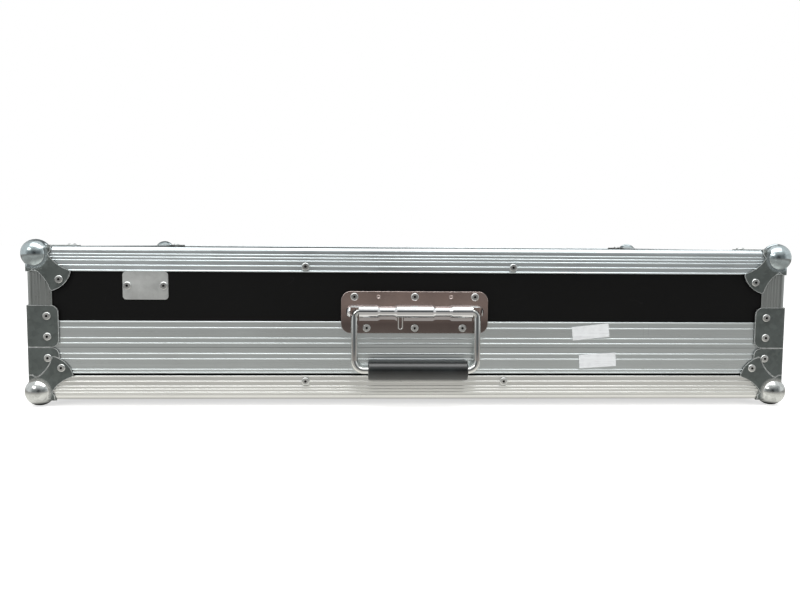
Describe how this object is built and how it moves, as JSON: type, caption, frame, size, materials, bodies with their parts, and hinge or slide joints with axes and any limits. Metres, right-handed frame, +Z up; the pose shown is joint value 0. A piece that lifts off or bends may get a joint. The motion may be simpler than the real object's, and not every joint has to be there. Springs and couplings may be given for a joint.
{
  "type": "flight case",
  "caption": "Flight case for a mixing console: shallow base tray, deep hinged lid, ball corners, aluminium edges, recessed turn latches and a sprung bail handle, lined with foam.",
  "frame": {"origin": "centre of the underside of the floor panel", "axes": "+X along the length, to the right seen from the handle; +Y from the handle side to the hinge side; +Z up from the base tray to the lid"},
  "size_m": [0.8856, 0.5505, 0.1903],
  "materials": {
    "panel_laminate": "black plastic laminate on plywood, fine scratches and dust",
    "rim_aluminium": "extruded, bead-ribbed, satin",
    "edge_aluminium": "extruded, bead-ribbed, satin",
    "ball_corner_steel": "pressed steel, zinc plated, glossy on the ball",
    "brace_steel": "pressed steel, zinc plated, dull",
    "rivet_steel": "zinc plated, dark eye",
    "lining_foam": "charcoal open-cell foam",
    "label_paper": "blank white paper, rubbed",
    "hinge_steel": "zinc plated",
    "latch_dish_steel": "pressed steel, zinc plated",
    "latch_wing_steel": "bright plated",
    "latch_rotor_steel": "zinc plated",
    "handle_plate_steel": "polished plate",
    "packer_plastic": "black packer",
    "saddle_chrome": "bright chrome",
    "bail_chrome": "bright chrome wire",
    "grip_rubber": "black rubber, satin",
    "spring_steel": "bright spring wire",
    "badge_metal": "blank satin plate"
  },
  "bodies": {
    "base": {"base_ball_corners": "ball_corner_steel", "base_corner_braces": "brace_steel", "base_edge_front": "edge_aluminium", "base_edge_left": "edge_aluminium", "base_edge_rear": "edge_aluminium", "base_edge_right": "edge_aluminium", "base_floor_panel": "panel_laminate", "base_foam_lining": "lining_foam", "base_label": "label_paper", "base_rim_front": "rim_aluminium", "base_rim_left": "rim_aluminium", "base_rim_rear": "rim_aluminium", "base_rim_right": "rim_aluminium", "base_rivets": "rivet_steel", "base_wall_front": "panel_laminate", "base_wall_left": "panel_laminate", "base_wall_rear": "panel_laminate", "base_wall_right": "panel_laminate", "hinge_base_leaves": "hinge_steel", "hinge_pins": "hinge_steel", "latch_strike_left": "latch_dish_steel", "latch_strike_right": "latch_dish_steel"},
    "lid": {"badge_plate": "badge_metal", "handle_packer": "packer_plastic", "handle_plate": "handle_plate_steel", "handle_saddle": "saddle_chrome", "handle_spring": "spring_steel", "hinge_lid_leaves": "hinge_steel", "latch_dish_left": "latch_dish_steel", "latch_dish_right": "latch_dish_steel", "lid_ball_corners": "ball_corner_steel", "lid_corner_angles": "edge_aluminium", "lid_corner_braces": "brace_steel", "lid_edge_front": "edge_aluminium", "lid_edge_left": "edge_aluminium", "lid_edge_rear": "edge_aluminium", "lid_edge_right": "edge_aluminium", "lid_foam_lining": "lining_foam", "lid_label": "label_paper", "lid_rim_front": "rim_aluminium", "lid_rim_left": "rim_aluminium", "lid_rim_rear": "rim_aluminium", "lid_rim_right": "rim_aluminium", "lid_rivets": "rivet_steel", "lid_top_panel": "panel_laminate", "lid_wall_front": "panel_laminate", "lid_wall_left": "panel_laminate", "lid_wall_rear": "panel_laminate", "lid_wall_right": "panel_laminate"},
    "bail": {"handle_bail": "bail_chrome", "handle_grip": "grip_rubber"},
    "latch_left_rotor": {"latch_rotor_left": "latch_rotor_steel"},
    "latch_left_hook": {"latch_hook_left": "latch_rotor_steel"},
    "latch_left_wing_front": {"latch_wing_front_left": "latch_wing_steel"},
    "latch_left_wing_rear": {"latch_wing_rear_left": "latch_wing_steel"},
    "latch_right_rotor": {"latch_rotor_right": "latch_rotor_steel"},
    "latch_right_hook": {"latch_hook_right": "latch_rotor_steel"},
    "latch_right_wing_front": {"latch_wing_front_right": "latch_wing_steel"},
    "latch_right_wing_rear": {"latch_wing_rear_right": "latch_wing_steel"}
  },
  "joints": [
    {"name": "lid_hinge", "type": "hinge", "parent": "base", "child": "lid", "pos_m": [0, 0.2644, 0.0583], "axis": [-1, 0, 0], "range_deg": [0, 125]},
    {"name": "bail_hinge", "type": "hinge", "parent": "lid", "child": "bail", "pos_m": [0.002, -0.267, 0.1004], "axis": [-1, 0, 0], "range_deg": [0, 95], "stiffness_Nm_per_rad": 0.12, "springref_deg": -28.65},
    {"name": "latch_left_turn", "type": "hinge", "parent": "lid", "child": "latch_left_rotor", "pos_m": [-0.435, -0.13, 0.0883], "axis": [1, 0, 0], "range_deg": [0, 180]},
    {"name": "latch_left_draw", "type": "slide", "parent": "lid", "child": "latch_left_hook", "axis": [0.3243, 0, 0.9459], "range_m": [0, 0.00745]},
    {"name": "latch_left_lift_front", "type": "hinge", "parent": "latch_left_rotor", "child": "latch_left_wing_front", "pos_m": [-0.4318, -0.1332, 0.0883], "axis": [0, 0, -1], "range_deg": [0, 90], "stiffness_Nm_per_rad": 0.004, "springref_deg": -28.65},
    {"name": "latch_left_lift_rear", "type": "hinge", "parent": "latch_left_rotor", "child": "latch_left_wing_rear", "pos_m": [-0.4318, -0.1268, 0.0883], "axis": [0, 0, 1], "range_deg": [0, 90], "stiffness_Nm_per_rad": 0.004, "springref_deg": -28.65},
    {"name": "latch_right_turn", "type": "hinge", "parent": "lid", "child": "latch_right_rotor", "pos_m": [0.435, -0.13, 0.0883], "axis": [1, 0, 0], "range_deg": [0, 180]},
    {"name": "latch_right_draw", "type": "slide", "parent": "lid", "child": "latch_right_hook", "axis": [-0.3243, 0, 0.9459], "range_m": [0, 0.00745]},
    {"name": "latch_right_lift_front", "type": "hinge", "parent": "latch_right_rotor", "child": "latch_right_wing_front", "pos_m": [0.4318, -0.1332, 0.0883], "axis": [0, 0, 1], "range_deg": [0, 90], "stiffness_Nm_per_rad": 0.004, "springref_deg": -28.65},
    {"name": "latch_right_lift_rear", "type": "hinge", "parent": "latch_right_rotor", "child": "latch_right_wing_rear", "pos_m": [0.4318, -0.1268, 0.0883], "axis": [0, 0, -1], "range_deg": [0, 90], "stiffness_Nm_per_rad": 0.004, "springref_deg": -28.65}
  ],
  "couplings": [
    {"joint": "latch_left_draw", "follows": "latch_left_turn", "m_per_rad": 0.0023555},
    {"joint": "latch_right_draw", "follows": "latch_right_turn", "m_per_rad": 0.0023555}
  ]
}
